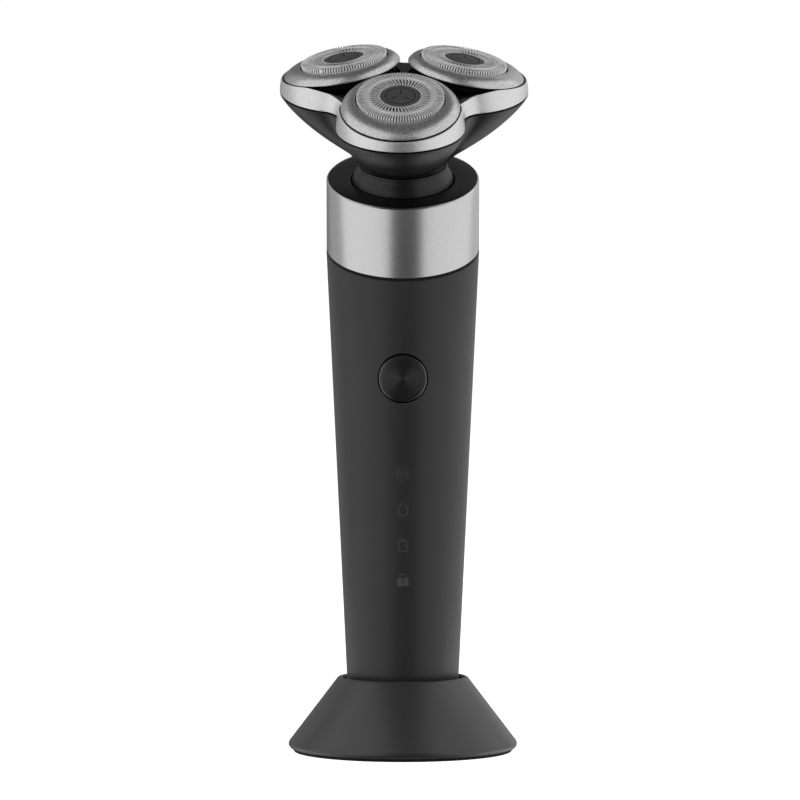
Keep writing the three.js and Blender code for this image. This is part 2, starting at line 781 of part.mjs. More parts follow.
// ---------- head: dishes, guards and cutters ----------
// The dish's round sections shift outwards as they widen from its bore to its rim.
function dishFrame() {
  const profile = [
    [DISH_BORE, -1.8],
    [13.2, -1.8],
    [13.2, -0.8],
    [14.2, -0.6],
    [DISH_RADIUS, -0.1],
    [14.4, 0.4],
    [13.6, 1.15],
    [12.5, 1.75],
    [11.15, 2],
    [11.15, 0.4],
    [DISH_BORE, 0.4],
  ];
  const sections = profile.map(([radius, height]) => {
    const share = Math.max(0, (radius - DISH_BORE) / (DISH_RADIUS - DISH_BORE));
    return Array.from({ length: MEDIUM }, (_, i) => {
      const angle = (2 * Math.PI * i) / MEDIUM;
      const y = radius * Math.sin(angle) - RIM_OFFSET * share;
      return new THREE.Vector3(radius * Math.cos(angle), y, height);
    });
  });
  return closedLoft(sections);
}

const guard = () =>
  turned(
    [
      [10.2, -0.6],
      [11.6, -0.6],
      [11.6, 0.1],
      [GUARD_RADIUS, 0.1],
      [GUARD_RADIUS, GUARD_HEIGHT - 0.25],
      [GUARD_RADIUS - 0.25, GUARD_HEIGHT],
      [5.05, GUARD_HEIGHT],
      [5.05, GUARD_HEIGHT - 0.4],
      [10.2, GUARD_HEIGHT - 0.4],
    ],
    MEDIUM,
  );

const centreCap = () =>
  turned(
    [
      [0, GUARD_HEIGHT - 0.95],
      [4.75, GUARD_HEIGHT - 0.95],
      [4.75, GUARD_HEIGHT - 0.2],
      [0, GUARD_HEIGHT - 0.1],
    ],
    MEDIUM,
  );
const retainer = () => ring(9.4, 11.6, -1.7, -0.9, MEDIUM);

function cutter() {
  const blades = 8;
  const hub = turned(
    [[0, -4.4], [2.8, -4.4], [2.8, -0.5], [9.4, -0.5], [9.4, 0.2], [0, 0.2]],
    MEDIUM,
  );
  const driveHole = disc(2.2, -6, -1.2, HEX);
  const tracks = [[5.6, 7.7], [8.4, 9.7]];
  const comb = tracks.flatMap(([inner, outer]) =>
    Array.from({ length: blades }, (_, i) =>
      box(inner, outer, -0.3, 0.3, -0.1, GUARD_HEIGHT - 0.65).rotateZ((i * 2 * Math.PI) / blades),
    ),
  );
  return cut(join(hub, ...comb), driveHole);
}

for (const lobe of LOBES) {
  const number = lobe + 1;
  const facing = radians(-90 + lobe * LOBE_TURN);
  const gearSeat = new THREE.Group();
  gearSeat.position.set(
    BALL_DISTANCE * Math.cos(facing),
    BALL_DISTANCE * Math.sin(facing),
    0,
  );
  head.add(gearSeat);
  place(gearSeat, "cutter_gear_" + number, cutterGear(facing), finish.nylon);
  place(gearSeat, "pin_spring_" + number, pinSpring(), finish.steel);

  const lobeGroup = new THREE.Group();
  lobeGroup.rotation.z = radians(lobe * LOBE_TURN);
  head.add(lobeGroup);
  const dish = new THREE.Group();
  dish.position.set(0, -DISH_DISTANCE, DISH_HEIGHT);
  dish.rotation.x = radians(DISH_LEAN);
  lobeGroup.add(dish);
  place(dish, "dish_" + number, dishFrame(), finish.dishSilver);
  place(dish, "guard_" + number, guard(), finish.guardSteel);
  place(dish, "centre_cap_" + number, centreCap(), finish.darkPlastic);
  place(dish, "retainer_" + number, retainer(), finish.nylon);
  place(dish, "cutter_" + number, cutter(), finish.steel);
}

export default shaver;
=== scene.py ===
"""Looks of a rotary shaver in its stand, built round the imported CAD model.

Sizes are in millimetres and turned into metres by MM. Every piece is made round its own Z axis
and then set on the frame: on the handle's axis, on the head's axis or on a dish's axis.
"""

import json
import math

import bmesh
import bpy
from mathutils import Matrix, Vector


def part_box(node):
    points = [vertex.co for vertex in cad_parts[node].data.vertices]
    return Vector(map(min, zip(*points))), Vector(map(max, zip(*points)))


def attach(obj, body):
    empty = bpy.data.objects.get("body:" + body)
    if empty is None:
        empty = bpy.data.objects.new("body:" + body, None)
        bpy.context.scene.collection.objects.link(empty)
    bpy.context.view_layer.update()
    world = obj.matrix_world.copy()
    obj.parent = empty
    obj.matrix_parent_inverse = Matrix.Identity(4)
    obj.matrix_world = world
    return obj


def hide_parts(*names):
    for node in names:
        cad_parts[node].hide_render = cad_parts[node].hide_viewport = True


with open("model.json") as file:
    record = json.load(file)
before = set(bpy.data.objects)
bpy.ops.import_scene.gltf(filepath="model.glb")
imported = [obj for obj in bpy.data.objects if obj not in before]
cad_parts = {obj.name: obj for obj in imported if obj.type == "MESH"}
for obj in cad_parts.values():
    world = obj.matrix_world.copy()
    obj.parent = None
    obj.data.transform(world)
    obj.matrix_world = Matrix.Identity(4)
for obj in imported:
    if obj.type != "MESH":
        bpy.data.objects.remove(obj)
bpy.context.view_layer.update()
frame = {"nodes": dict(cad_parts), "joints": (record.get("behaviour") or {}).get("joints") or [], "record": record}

MM = 0.001
SMOOTH_ANGLE = math.radians(32)
JOINTS = {joint["name"]: joint for joint in frame["joints"]}
LOBES = (1, 2, 3)

# ---------- driving dimensions ----------
HANDLE_RADIUS = 14.0  # at HANDLE_RADIUS_HEIGHT
HANDLE_RADIUS_HEIGHT = 20.0
HANDLE_TAPER = 0.0478
HANDLE_WALL = 2.2
SHELL_TOP = 125.0
COLLAR_BOTTOM = 125.9
COLLAR_TOP = 143.0
COLLAR_RADIUS = 18.98
COLLAR_WALL = 2.0
TOP_PLATE_RADIUS = 18.45
TOP_PLATE_HOLE = 13.0
BUTTON_RADIUS = 5.9
BUTTON_HOLE = 6.25

LOBE_DISTANCE = 17.45
LOBE_RADIUS = 15.8
VALLEY_RADIUS = 18.5
BOWL_BOTTOM = 4.2
BOWL_TOP = 19.6
BOWL_FOOT_RADIUS = 11.0
BOWL_WALL = 1.5
BAND_BOTTOM = 19.95
DISH_RADIUS = 14.6
DISH_BORE = 11.15
RIM_OFFSET = 1.0  # the rim's centre lies further out than the guard's axis
GUARD_RADIUS = 10.75
GUARD_HEIGHT = 3.0
BALL_DEPTH = 3.3


# ---------- places, all taken from the frame ----------
def axes(origin, z_axis, x_axis):
    """The matrix that puts a piece's own Z and X axes along the given ones.

    The origin is in metres.
    """
    z = Vector(z_axis).normalized()
    y = z.cross(Vector(x_axis)).normalized()
    turn = Matrix((y.cross(z), y, z)).transposed().to_4x4()
    return Matrix.Translation(origin) @ turn


HEAD_AXIS = Vector(JOINTS["head_pull_off"]["axis"])
HEAD_SIDE = Vector(JOINTS["dish_1_tilt"]["axis"])
HEAD_PIVOT = Vector(JOINTS["head_pitch"]["pos_m"])
UPRIGHT = Matrix.Identity(4)
NECK = axes(HEAD_PIVOT, HEAD_AXIS, (1, 0, 0))
HEAD = axes(HEAD_PIVOT, HEAD_AXIS, HEAD_SIDE)
SLOPE = -HEAD_AXIS.y / HEAD_AXIS.z  # of the oblique planes at the top of the handle


def dish_place(lobe):
    axis = Vector(JOINTS[f"cutter_{lobe}_spin"]["axis"])
    ball = Vector(JOINTS[f"cutter_{lobe}_spin"]["pos_m"])
    return axes(ball + axis * BALL_DEPTH * MM, axis, JOINTS[f"dish_{lobe}_tilt"]["axis"])


DISHES = {lobe: dish_place(lobe) for lobe in LOBES}
DISH_CENTRE = HEAD.inverted() @ DISHES[1].translation / MM
DISH_DISTANCE = -DISH_CENTRE.y
DISH_HEIGHT = DISH_CENTRE.z
DISH_LEAN = HEAD_AXIS.angle(JOINTS["cutter_1_spin"]["axis"])

BUTTON_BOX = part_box("button_cap")
BUTTON_HEIGHT = (BUTTON_BOX[0].z + BUTTON_BOX[1].z) / 2
BUTTON_FACE = -BUTTON_BOX[0].y / MM
BUTTON = axes((0, 0, BUTTON_HEIGHT), (0, -1, 0), (1, 0, 0))


# ---------- mesh helpers ----------
def make_piece(name, body, slot, vertices, faces, place=UPRIGHT, smooth_angle=SMOOTH_ANGLE):
    """A mesh piece with smooth shading and outward faces, riding on a body.

    Vertices are in millimetres.
    """
    mesh = bpy.data.meshes.new(name)
    mesh.from_pydata([Vector(v) * MM for v in vertices], [], faces)
    work = bmesh.new()
    work.from_mesh(mesh)
    bmesh.ops.remove_doubles(work, verts=work.verts, dist=1e-8)
    bmesh.ops.recalc_face_normals(work, faces=work.faces)
    work.to_mesh(mesh)
    work.free()
    piece = bpy.data.objects.new(name, mesh)
    bpy.context.scene.collection.objects.link(piece)
    shade_smooth(mesh, smooth_angle)
    mesh.materials.append(LOOKS[slot])
    piece.matrix_world = place
    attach(piece, body)
    return piece


def shade_smooth(mesh, smooth_angle=SMOOTH_ANGLE):
    mesh.polygons.foreach_set("use_smooth", [True] * len(mesh.polygons))
    mesh.set_sharp_from_angle(angle=smooth_angle)


def swept(name, body, slot, section, sides=192, place=UPRIGHT):
    """A piece whose closed section, a list of (radius, height), is a function of the angle."""
    rings = [section(2 * math.pi * side / sides) for side in range(sides)]
    count = len(rings[0])
    vertices = []
    for side, ring in enumerate(rings):
        angle = 2 * math.pi * side / sides
        vertices += [(r * math.cos(angle), r * math.sin(angle), z) for r, z in ring]
    faces = []
    for side in range(sides):
        here, there = side * count, (side + 1) % sides * count
        for i in range(count):
            j = (i + 1) % count
            if rings[0][i][0] == 0 and rings[0][j][0] == 0:
                continue
            corners = [here + i, here + j, there + j, there + i]
            if rings[0][i][0] == 0:
                corners = [here + i, here + j, there + j]
            if rings[0][j][0] == 0:
                corners = [here + i, here + j, there + i]
            faces.append(corners)
    return make_piece(name, body, slot, vertices, faces, place)


def turned(name, body, slot, corners, sides=192, place=UPRIGHT):
    """A piece turned from a closed profile of (radius, height, corner radius)."""
    profile = rounded(corners)
    return swept(name, body, slot, lambda angle: profile, sides, place)


def rounded(corners, steps=4):
    """The closed profile of (radius, height, corner radius) with its corners rounded off."""
    points = []
    for index, (r, z, corner_radius) in enumerate(corners):
        here = Vector((r, z))
        if not corner_radius:
            points.append((r, z))
            continue
        before = (Vector(corners[index - 1][:2]) - here).normalized()
        after = (Vector(corners[(index + 1) % len(corners)][:2]) - here).normalized()
        half = before.angle(after) / 2
        start = before * corner_radius / math.tan(half)
        end = after * corner_radius / math.tan(half)
        centre = (before + after).normalized() * corner_radius / math.sin(half)
        for step in range(steps + 1):
            spoke = (start - centre).slerp(end - centre, step / steps)
            points.append(tuple(here + centre + spoke * corner_radius))
    return points


def bezier(start, control, end, steps):
    """Points of a quadratic curve, the last one included."""
    points = []
    for step in range(steps + 1):
        t = step / steps
        weights = ((1 - t) ** 2, 2 * t * (1 - t), t * t)
        points.append(
            tuple(sum(w * p[i] for w, p in zip(weights, (start, control, end))) for i in (0, 1))
        )
    return points


def smoothstep(value, low, high):
    t = min(1, max(0, (value - low) / (high - low)))
    return t * t * (3 - 2 * t)


def cut_away(piece, cutter):
    """Cuts one mesh from another and removes the cutter."""
    modifier = piece.modifiers.new("cut", "BOOLEAN")
    modifier.operation = "DIFFERENCE"
    modifier.solver = "EXACT"
    modifier.object = cutter
    depsgraph = bpy.context.evaluated_depsgraph_get()
    cut_mesh = bpy.data.meshes.new_from_object(piece.evaluated_get(depsgraph))
    piece.modifiers.clear()
    piece.data = cut_mesh
    shade_smooth(cut_mesh)
    bpy.data.objects.remove(cutter)


def loose_cylinder(radius, bottom, top, place, sides=128):
    """A plain cylinder that only serves to cut other pieces."""
    mesh = bpy.data.meshes.new("cutter")
    work = bmesh.new()
    bmesh.ops.create_cone(
        work,
        cap_ends=True,
        segments=sides,
        radius1=radius * MM,
        radius2=radius * MM,
        depth=(top - bottom) * MM,
        matrix=Matrix.Translation((0, 0, (bottom + top) / 2 * MM)),
    )
    work.to_mesh(mesh)
    work.free()
    cutter = bpy.data.objects.new("cutter", mesh)
    bpy.context.scene.collection.objects.link(cutter)
    cutter.matrix_world = place
    return cutter


# ---------- materials ----------
class Look:
    """A material under construction: a Principled shader, and small helpers for its nodes."""

    def __init__(self, name, roughness, metallic=0.0, specular=0.5):
        self.material = bpy.data.materials.new(name)
        self.material.use_nodes = True
        self.nodes = self.material.node_tree.nodes
        self.links = self.material.node_tree.links
        self.shader = self.nodes["Principled BSDF"]
        self.shader.inputs["Roughness"].default_value = roughness
        self.shader.inputs["Metallic"].default_value = metallic
        self.shader.inputs["Specular IOR Level"].default_value = specular
        self.coordinates = self.nodes.new("ShaderNodeTexCoord").outputs["Object"]
        self.normal = None

    def noise(self, grain, detail=2.0):
        """Noise with features of about the given size in millimetres."""
        node = self.nodes.new("ShaderNodeTexNoise")
        node.inputs["Scale"].default_value = 1 / (grain * MM)
        node.inputs["Detail"].default_value = detail
        self.links.new(self.coordinates, node.inputs["Vector"])
        return node.outputs["Fac"]

    def spread(self, value, low, high):
        """Maps noise, which lies round 0.5, to the range from low to high."""
        node = self.nodes.new("ShaderNodeMapRange")
        node.inputs["From Min"].default_value = 0.3
        node.inputs["From Max"].default_value = 0.7
        node.inputs["To Min"].default_value = low
        node.inputs["To Max"].default_value = high
        self.links.new(value, node.inputs["Value"])
        return node.outputs["Result"]

    def colour(self, value, dark, light):
        node = self.nodes.new("ShaderNodeMix")
        node.data_type = "RGBA"
        node.inputs["A"].default_value = (*dark, 1)
        node.inputs["B"].default_value = (*light, 1)
        self.links.new(self.spread(value, 0, 1), node.inputs["Factor"])
        self.links.new(node.outputs["Result"], self.shader.inputs["Base Color"])

    def roughness(self, value, low, high):
        self.links.new(self.spread(value, low, high), self.shader.inputs["Roughness"])

    def bump(self, height, strength, distance):
        node = self.nodes.new("ShaderNodeBump")
        node.inputs["Strength"].default_value = strength
        node.inputs["Distance"].default_value = distance * MM
        self.links.new(height, node.inputs["Height"])
        if self.normal:
            self.links.new(self.normal, node.inputs["Normal"])
        self.normal = node.outputs["Normal"]
        self.links.new(self.normal, self.shader.inputs["Normal"])

    def distance_from_axis(self):
        """Distance from the piece's own Z axis, in metres."""
        flat = self.nodes.new("ShaderNodeVectorMath")
        flat.operation = "MULTIPLY"
        flat.inputs[1].default_value = (1, 1, 0)
        self.links.new(self.coordinates, flat.inputs[0])
        length = self.nodes.new("ShaderNodeVectorMath")
        length.operation = "LENGTH"
        self.links.new(flat.outputs["Vector"], length.inputs[0])
        return length.outputs["Value"]

    def rings(self, spacing):
        """Fine uneven rings round the piece's own Z axis, like the marks of a lathe tool."""
        node = self.nodes.new("ShaderNodeTexNoise")
        node.noise_dimensions = "1D"
        node.inputs["Scale"].default_value = 1 / (spacing * MM)
        node.inputs["Detail"].default_value = 3
        self.links.new(self.distance_from_axis(), node.inputs["W"])
        return node.outputs["Fac"]


def grey(value):
    return (value, value, value)


def moulded_plastic(name, tone, roughness, grain=0.12, relief=0.012, specular=0.5, sheen=0.0):
    """Plastic with a fine moulded grain and a faint change of tone over larger patches.

    A soft-touch coating also gets some sheen, which lightens it where it turns away.
    """
    look = Look(name, roughness, specular=specular)
    look.shader.inputs["Sheen Weight"].default_value = sheen
    look.shader.inputs["Sheen Roughness"].default_value = 0.45
    look.colour(look.noise(9.0), grey(tone * 0.93), grey(tone * 1.07))
    look.roughness(look.noise(grain * 3), roughness - 0.04, roughness + 0.04)
    look.bump(look.noise(grain), 0.35, relief)
    return look.material


def silver_coating(name, tone, roughness, sparkle):
    """Silver paint over plastic: a metal flake grain that glints."""
    look = Look(name, roughness, metallic=1.0)
    flakes = look.noise(0.22, 1.0)
    look.colour(flakes, grey(tone * (1 - sparkle)), grey(min(1, tone * (1 + sparkle))))
    uneven = 0.02 + 0.2 * sparkle
    look.roughness(look.noise(0.35), roughness - uneven, roughness + uneven)
    look.bump(flakes, 0.4, 0.04 * sparkle)
    return look.material


def plain_metal(name, colour, roughness, grain=0.2):
    look = Look(name, roughness, metallic=1.0)
    look.colour(look.noise(grain * 10), [c * 0.92 for c in colour], colour)
    look.roughness(look.noise(grain), roughness - 0.05, roughness + 0.05)
    look.bump(look.noise(grain / 2), 0.2, 0.004)
    return look.material


def turned_metal(name, tone, roughness, anisotropy, metallic=1.0):
    """Metal with lathe marks round the piece's axis, which draw a glint across it."""
    look = Look(name, roughness, metallic=metallic)
    look.shader.inputs["Anisotropic"].default_value = anisotropy
    look.shader.inputs["Anisotropic Rotation"].default_value = 0.25
    tangent = look.nodes.new("ShaderNodeTangent")
    tangent.direction_type = "RADIAL"
    tangent.axis = "Z"
    look.links.new(tangent.outputs["Tangent"], look.shader.inputs["Tangent"])
    marks = look.rings(0.09)
    look.colour(marks, grey(tone * 0.9), grey(tone))
    look.roughness(marks, roughness - 0.04, roughness + 0.04)
    look.bump(marks, 0.1, 0.002)
    return look.material


LOOKS = {
    "soft_touch": moulded_plastic("soft_touch", 0.027, 0.44, grain=0.1, relief=0.01, sheen=0.3),
    "stand_plastic": moulded_plastic(
        "stand_plastic", 0.025, 0.36, grain=0.12, relief=0.014, specular=0.8, sheen=0.2
    ),
    "dark_plastic": moulded_plastic("dark_plastic", 0.014, 0.36, grain=0.15, relief=0.006),
    "black_plastic": moulded_plastic("black_plastic", 0.007, 0.32, grain=0.2, relief=0.002),
    "inner_plastic": moulded_plastic("inner_plastic", 0.085, 0.5),
    "nylon": moulded_plastic("nylon", 0.68, 0.45, grain=0.3, relief=0.004),
    "rubber": moulded_plastic("rubber", 0.014, 0.8, grain=0.25, relief=0.02, specular=0.3),
    "satin_metal": silver_coating("satin_metal", 0.72, 0.3, 0.05),
    "grain_metal": silver_coating("grain_metal", 0.86, 0.42, 0.13),
    "dish_metal": silver_coating("dish_metal", 0.68, 0.33, 0.35),
    "guard_steel": turned_metal("guard_steel", 1.0, 0.2, 0.0, metallic=0.4),
    "steel": plain_metal("steel", (0.16, 0.16, 0.16), 0.32),
    "spun_black": turned_metal("spun_black", 0.15, 0.26, 0.9),
    "brass": plain_metal("brass", (0.6, 0.43, 0.18), 0.35),
    "board": moulded_plastic("board", 0.05, 0.45, grain=0.8),
    "cell_wrap": moulded_plastic("cell_wrap", 0.08, 0.4, grain=1.5),
}

for part in frame["record"]["subparts"]:
    carried = frame["nodes"][part["node"]]
    carried.data.materials.clear()
    carried.data.materials.append(LOOKS[part["material_slot"]])


# ---------- stand ----------
def build_stand():
    """A hollow cone on a rubber pad. Its socket is open at the top and has a floor."""
    cone_radius, cone_radius_height, cone_spread = 17.0, 17.5, 0.755
    wall = 2.4

    def cone(z):
        return cone_radius + (cone_radius_height - z) * cone_spread

    shell = turned(
        "stand_cone",
        "stand",
        "stand_plastic",
        [
            (0, 3.3, 0),
            (15.9, 3.3, 0.3),
            (15.9, 15.3, 0.6),
            (cone(15.3) - wall, 15.3, 0.6),
            (cone(2) - wall, 2, 0.5),
            (cone(2) - wall, 0.75, 0),
            (27.8, 0.75, 0.2),
            (cone(0.7), 0.85, 1.2),
            (cone(18.65), 18.65, 0.9),
            (15.1, 18.65, 0.4),
            (15.0, 14, 0.5),
            (14.5, 13, 0.5),
            (14.5, 4.9, 0.6),
            (0, 4.9, 0),
        ],
        256,
    )
    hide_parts("stand_shell")
    pad = turned(
        "foot_pad",
        "stand",
        "rubber",
        [
            (0, 0.15, 0),
            (20.5, 0.15, 0.1),
            (20.5, 0, 0.1),
            (27.2, 0, 0.3),
            (27.4, 0.7, 0.1),
            (0, 0.7, 0),
        ],
    )
    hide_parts("stand_foot_pad")


build_stand()


# ---------- handle ----------
def handle_radius(z):
    return HANDLE_RADIUS + (z - HANDLE_RADIUS_HEIGHT) * HANDLE_TAPER


def on_oblique_plane(height, radius, angle):
    """Height of the sloping plane, which crosses the axis at a height, at a radius and angle."""
    return height + radius * math.sin(angle) * SLOPE


def taper_at_plane(height, angle, inset):
    """Where the tapered handle, less an inset, meets a sloping plane: (radius, height)."""
    radius = (handle_radius(height) - inset) / (1 - HANDLE_TAPER * math.sin(angle) * SLOPE)
    return radius, on_oblique_plane(height, radius, angle)


def build_handle_shell():
    bottom, edge = 5.2, 0.25

    def section(angle):
        return [
            (handle_radius(bottom) - HANDLE_WALL, bottom),
            (handle_radius(bottom) - 0.7, bottom),
            (handle_radius(bottom) - 0.2, bottom + 0.2),
            (handle_radius(bottom + 0.7), bottom + 0.7),
            (handle_radius(60), 60),
            (handle_radius(100), 100),
            taper_at_plane(SHELL_TOP - edge, angle, 0),
            taper_at_plane(SHELL_TOP - edge * 0.3, angle, edge * 0.3),
            taper_at_plane(SHELL_TOP, angle, edge),
            taper_at_plane(SHELL_TOP, angle, HANDLE_WALL),
        ]

    shell = swept("handle_sleeve", "handle", "soft_touch", section, 288)
    cut_away(shell, loose_cylinder(BUTTON_HOLE, 10, 25, BUTTON))
    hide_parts("handle_shell")


def oblique_ring(name, slot, corners, sides=256):
    """A ring round the handle's axis whose profile heights follow the sloping plane."""
    profile = rounded(corners)

    def section(angle):
        return [(r, on_oblique_plane(z, r, angle)) for r, z in profile]

    return swept(name, "handle", slot, section, sides)


def build_collar():
    inner = COLLAR_RADIUS - COLLAR_WALL
    seat = TOP_PLATE_RADIUS + 0.12
    collar = oblique_ring(
        "collar_sleeve",
        "satin_metal",
        [
            (inner, COLLAR_BOTTOM, 0.1),
            (COLLAR_RADIUS, COLLAR_BOTTOM, 0.12),
            (COLLAR_RADIUS, COLLAR_TOP - 0.33, 0.05),
            (COLLAR_RADIUS - 0.33, COLLAR_TOP, 0.05),
            (seat, COLLAR_TOP, 0.02),
            (seat, COLLAR_TOP - 1.8, 0),
            (inner, COLLAR_TOP - 1.8, 0),
        ],
    )
    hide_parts("collar_ring")
    plate = oblique_ring(
        "black_top",
        "black_plastic",
        [
            (TOP_PLATE_HOLE, COLLAR_TOP - 1.5, 0.1),
            (TOP_PLATE_RADIUS, COLLAR_TOP - 1.5, 0.1),
            (TOP_PLATE_RADIUS, COLLAR_TOP - 0.12, 0.1),
            (TOP_PLATE_HOLE, COLLAR_TOP - 0.12, 0.25),
        ],
    )
    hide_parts("top_plate")
    gasket = oblique_ring(
        "collar_reveal",
        "rubber",
        [
            (16.4, SHELL_TOP + 0.05, 0),
            (18.35, SHELL_TOP + 0.05, 0),
            (18.35, COLLAR_BOTTOM - 0.05, 0),
            (16.4, COLLAR_BOTTOM - 0.05, 0),
        ],
    )
    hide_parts("collar_gasket")


def build_button():
    """A turned metal cap: a faintly domed face inside a bright chamfer."""
    dome = 0.2
    chamfer = 0.2
    face = BUTTON_FACE - dome
    flat = BUTTON_RADIUS - chamfer - 0.05
    steps = 12
    domed = [
        (flat * (1 - i / steps), face + dome * (1 - (1 - i / steps) ** 2), 0)
        for i in range(1, steps + 1)
    ]
    cap = turned(
        "button_disc",
        "power_button",
        "spun_black",
        [
            (0, 13.75, 0),
            (1.5, 13.75, 0),
            (1.5, 15.6, 0),
            (BUTTON_RADIUS, 15.6, 0.1),
            (BUTTON_RADIUS, face - chamfer, 0.04),
            (flat + 0.05, face, 0.02),
            (flat, face - 0.04, 0),
            *domed,
        ],
        192,
        BUTTON,
    )
    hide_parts("button_cap")


build_handle_shell()
build_collar()
build_button()


# ---------- icons on the handle ----------
ICON_LINE = 0.24
ICON_RELIEF = 0.03


def stroke(points, closed=True, width=ICON_LINE):
    """Quads of a line of constant width through flat points."""
    count = len(points)
    vertices, faces = [], []
    for i, point in enumerate(points):
        before = points[i - 1] if closed or i else point
        after = points[(i + 1) % count] if closed or i < count - 1 else point
        along = (Vector(after) - Vector(before)).normalized()
        across = Vector((-along.y, along.x)) * width / 2
        vertices += [Vector(point) - across, Vector(point) + across]
    for i in range(count if closed else count - 1):
        j = (i + 1) % count
        faces.append([2 * i, 2 * j, 2 * j + 1, 2 * i + 1])
    return vertices, faces


def arc(centre, radius, start, end, steps):
    """Points of an arc, with its angles in degrees."""
    angles = [math.radians(start + (end - start) * i / steps) for i in range(steps + 1)]
    return [(centre[0] + radius * math.cos(a), centre[1] + radius * math.sin(a)) for a in angles]


def fan_icon():
    """A ring with seven curved blades round it."""
    blades = []
    for k in range(7):
        turn = 2 * math.pi * k / 7
        blade = [(0.8, 0.05), (1.3, 0.55), (1.85, 0.65), (1.9, 0.15), (1.25, -0.35)]
        blades.append(
            stroke(
                [
                    (
                        x * math.cos(turn) - y * math.sin(turn),
                        x * math.sin(turn) + y * math.cos(turn),
                    )
                    for x, y in blade
                ],
                width=0.15,
            )
        )
    return [stroke(arc((0, 0), 0.58, 0, 345, 23), width=0.18), *blades]


def drop_icon():
    low = arc((0, -0.5), 1.25, 150, 390, 24)
    return [stroke([(0, 1.75), (-0.55, 0.85), *low, (0.55, 0.85)])]


def battery_icon():
    corners = [(-1, -1.5, 0.3), (1, -1.5, 0.3), (1, 1.1, 0.3), (-1, 1.1, 0.3)]
    knob = [(-0.42, 1.2, 0.1), (0.42, 1.2, 0.1), (0.42, 1.75, 0.2), (-0.42, 1.75, 0.2)]
    return [stroke(rounded(corners)), stroke(rounded(knob), width=0.18)]


def padlock_icon():
    """A solid body with a keyhole, made of two filled halves, under a bow."""
    half = [(0.12, -1.35), (1.25, -1.35), (1.45, -1.15), (1.45, 0.45), (1.25, 0.65), (0.12, 0.65)]
    halves = []
    for side in (-1, 1):
        halves.append(([Vector((side * x, y)) for x, y in half], [[0, 1, 2, 3, 4, 5]]))
    bars = [[(-0.12, 0.42), (0.12, 0.42), (0.12, 0.65), (-0.12, 0.65)]]
    bars.append([(-0.12, -1.35), (0.12, -1.35), (0.12, -1.0), (-0.12, -1.0)])
    solid = [([Vector(p) for p in bar], [[0, 1, 2, 3]]) for bar in bars]
    bow = [(-0.85, 0.6), *arc((0, 0.85), 0.85, 180, 0, 16), (0.85, 0.6)]
    return [*halves, *solid, stroke(bow, closed=False)]


def place_icon(name, height, shapes):
    """Wraps a flat icon onto the handle's front as a thin raised print."""
    vertices, faces = [], []
    for points, polygons in shapes:
        start = len(vertices)
        for lift in (-ICON_RELIEF, ICON_RELIEF):
            for x, y in points:
                radius = handle_radius(height + y) + lift
                angle = x / radius
                vertices.append((radius * math.sin(angle), -radius * math.cos(angle), height + y))
        count = len(points)
        edges = {}
        for polygon in polygons:
            faces.append([start + count + i for i in polygon])
            faces.append([start + i for i in reversed(polygon)])
            for a, b in zip(polygon, polygon[1:] + polygon[:1]):
                edges[(a, b)] = edges.get((b, a), 0) == 0
                if (b, a) in edges:
                    edges[(a, b)] = edges[(b, a)] = False
        for (a, b), outer in edges.items():
            if outer:
                faces.append([start + a, start + b, start + count + b, start + count + a])
    make_piece(name, "handle", "inner_plastic", vertices, faces)


for icon_name, icon_height, icon in (
    ("icon_fan", 70.3, fan_icon()),
    ("icon_drop", 61.6, drop_icon()),
    ("icon_battery", 52.5, battery_icon()),
    ("icon_padlock", 43.7, padlock_icon()),
):
    place_icon(icon_name, icon_height, icon)


# ---------- neck ----------
def build_neck():
    skirt = turned(
        "neck_cone",
        "neck",
        "dark_plastic",
        [
            (11.4, -3, 0.2),
            (12.3, -3, 0.3),
            (12.68, -0.4, 0.6),
            (12.3, 0.9, 1.5),
            (11.4, 2.4, 1.5),
            (11.05, 3.3, 0.1),
            (11.15, 3.45, 0.05),
            (11.05, 3.9, 0.1),
            (6.7, 3.9, 0.2),
            (6.7, 3.1, 0),
            (10, 3.1, 0),
            (10.9, 1.8, 0.3),
            (11.4, 0, 0.3),
        ],
        192,
        NECK,
    )
    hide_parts("neck_skirt")


build_neck()

# ---------- head: three-lobed housing ----------
LOBE_TURN = 2 * math.pi / 3
VALLEY_ALONG = LOBE_DISTANCE * math.cos(LOBE_TURN / 2)
VALLEY_ACROSS = LOBE_DISTANCE * math.sin(LOBE_TURN / 2)
VALLEY_REACH = VALLEY_RADIUS - VALLEY_ALONG
FILLET_RADIUS = (VALLEY_REACH**2 + VALLEY_ACROSS**2 - LOBE_RADIUS**2) / (
    2 * (LOBE_RADIUS - VALLEY_REACH)
)
FILLET_DISTANCE = VALLEY_RADIUS + FILLET_RADIUS


def angle_from_lobe(angle):
    """Angle from the nearest lobe's direction, for an angle taken from the head's X axis."""
    turn = angle + math.pi / 2
    return abs(turn - LOBE_TURN * round(turn / LOBE_TURN))


def outline_radius(angle):
    """The trefoil outline: an arc round each lobe, and a hollow arc that joins two of them."""
    off_lobe = angle_from_lobe(angle)
    off_valley = LOBE_TURN / 2 - off_lobe
    across = FILLET_DISTANCE * math.sin(off_valley)
    on_fillet = 0.0
    if abs(across) < FILLET_RADIUS:
        on_fillet = FILLET_DISTANCE * math.cos(off_valley) - math.sqrt(FILLET_RADIUS**2 - across**2)
    touch = math.atan2(VALLEY_ACROSS, VALLEY_REACH + FILLET_RADIUS)
    touch_radius = Vector(
        (
            FILLET_DISTANCE - FILLET_RADIUS * math.cos(touch),
            FILLET_RADIUS * math.sin(touch),
        )
    )
    if off_valley < math.atan2(touch_radius.y, touch_radius.x):
        return on_fillet
    along = LOBE_DISTANCE * math.cos(off_lobe)
    return along + math.sqrt(LOBE_RADIUS**2 - (LOBE_DISTANCE * math.sin(off_lobe)) ** 2)


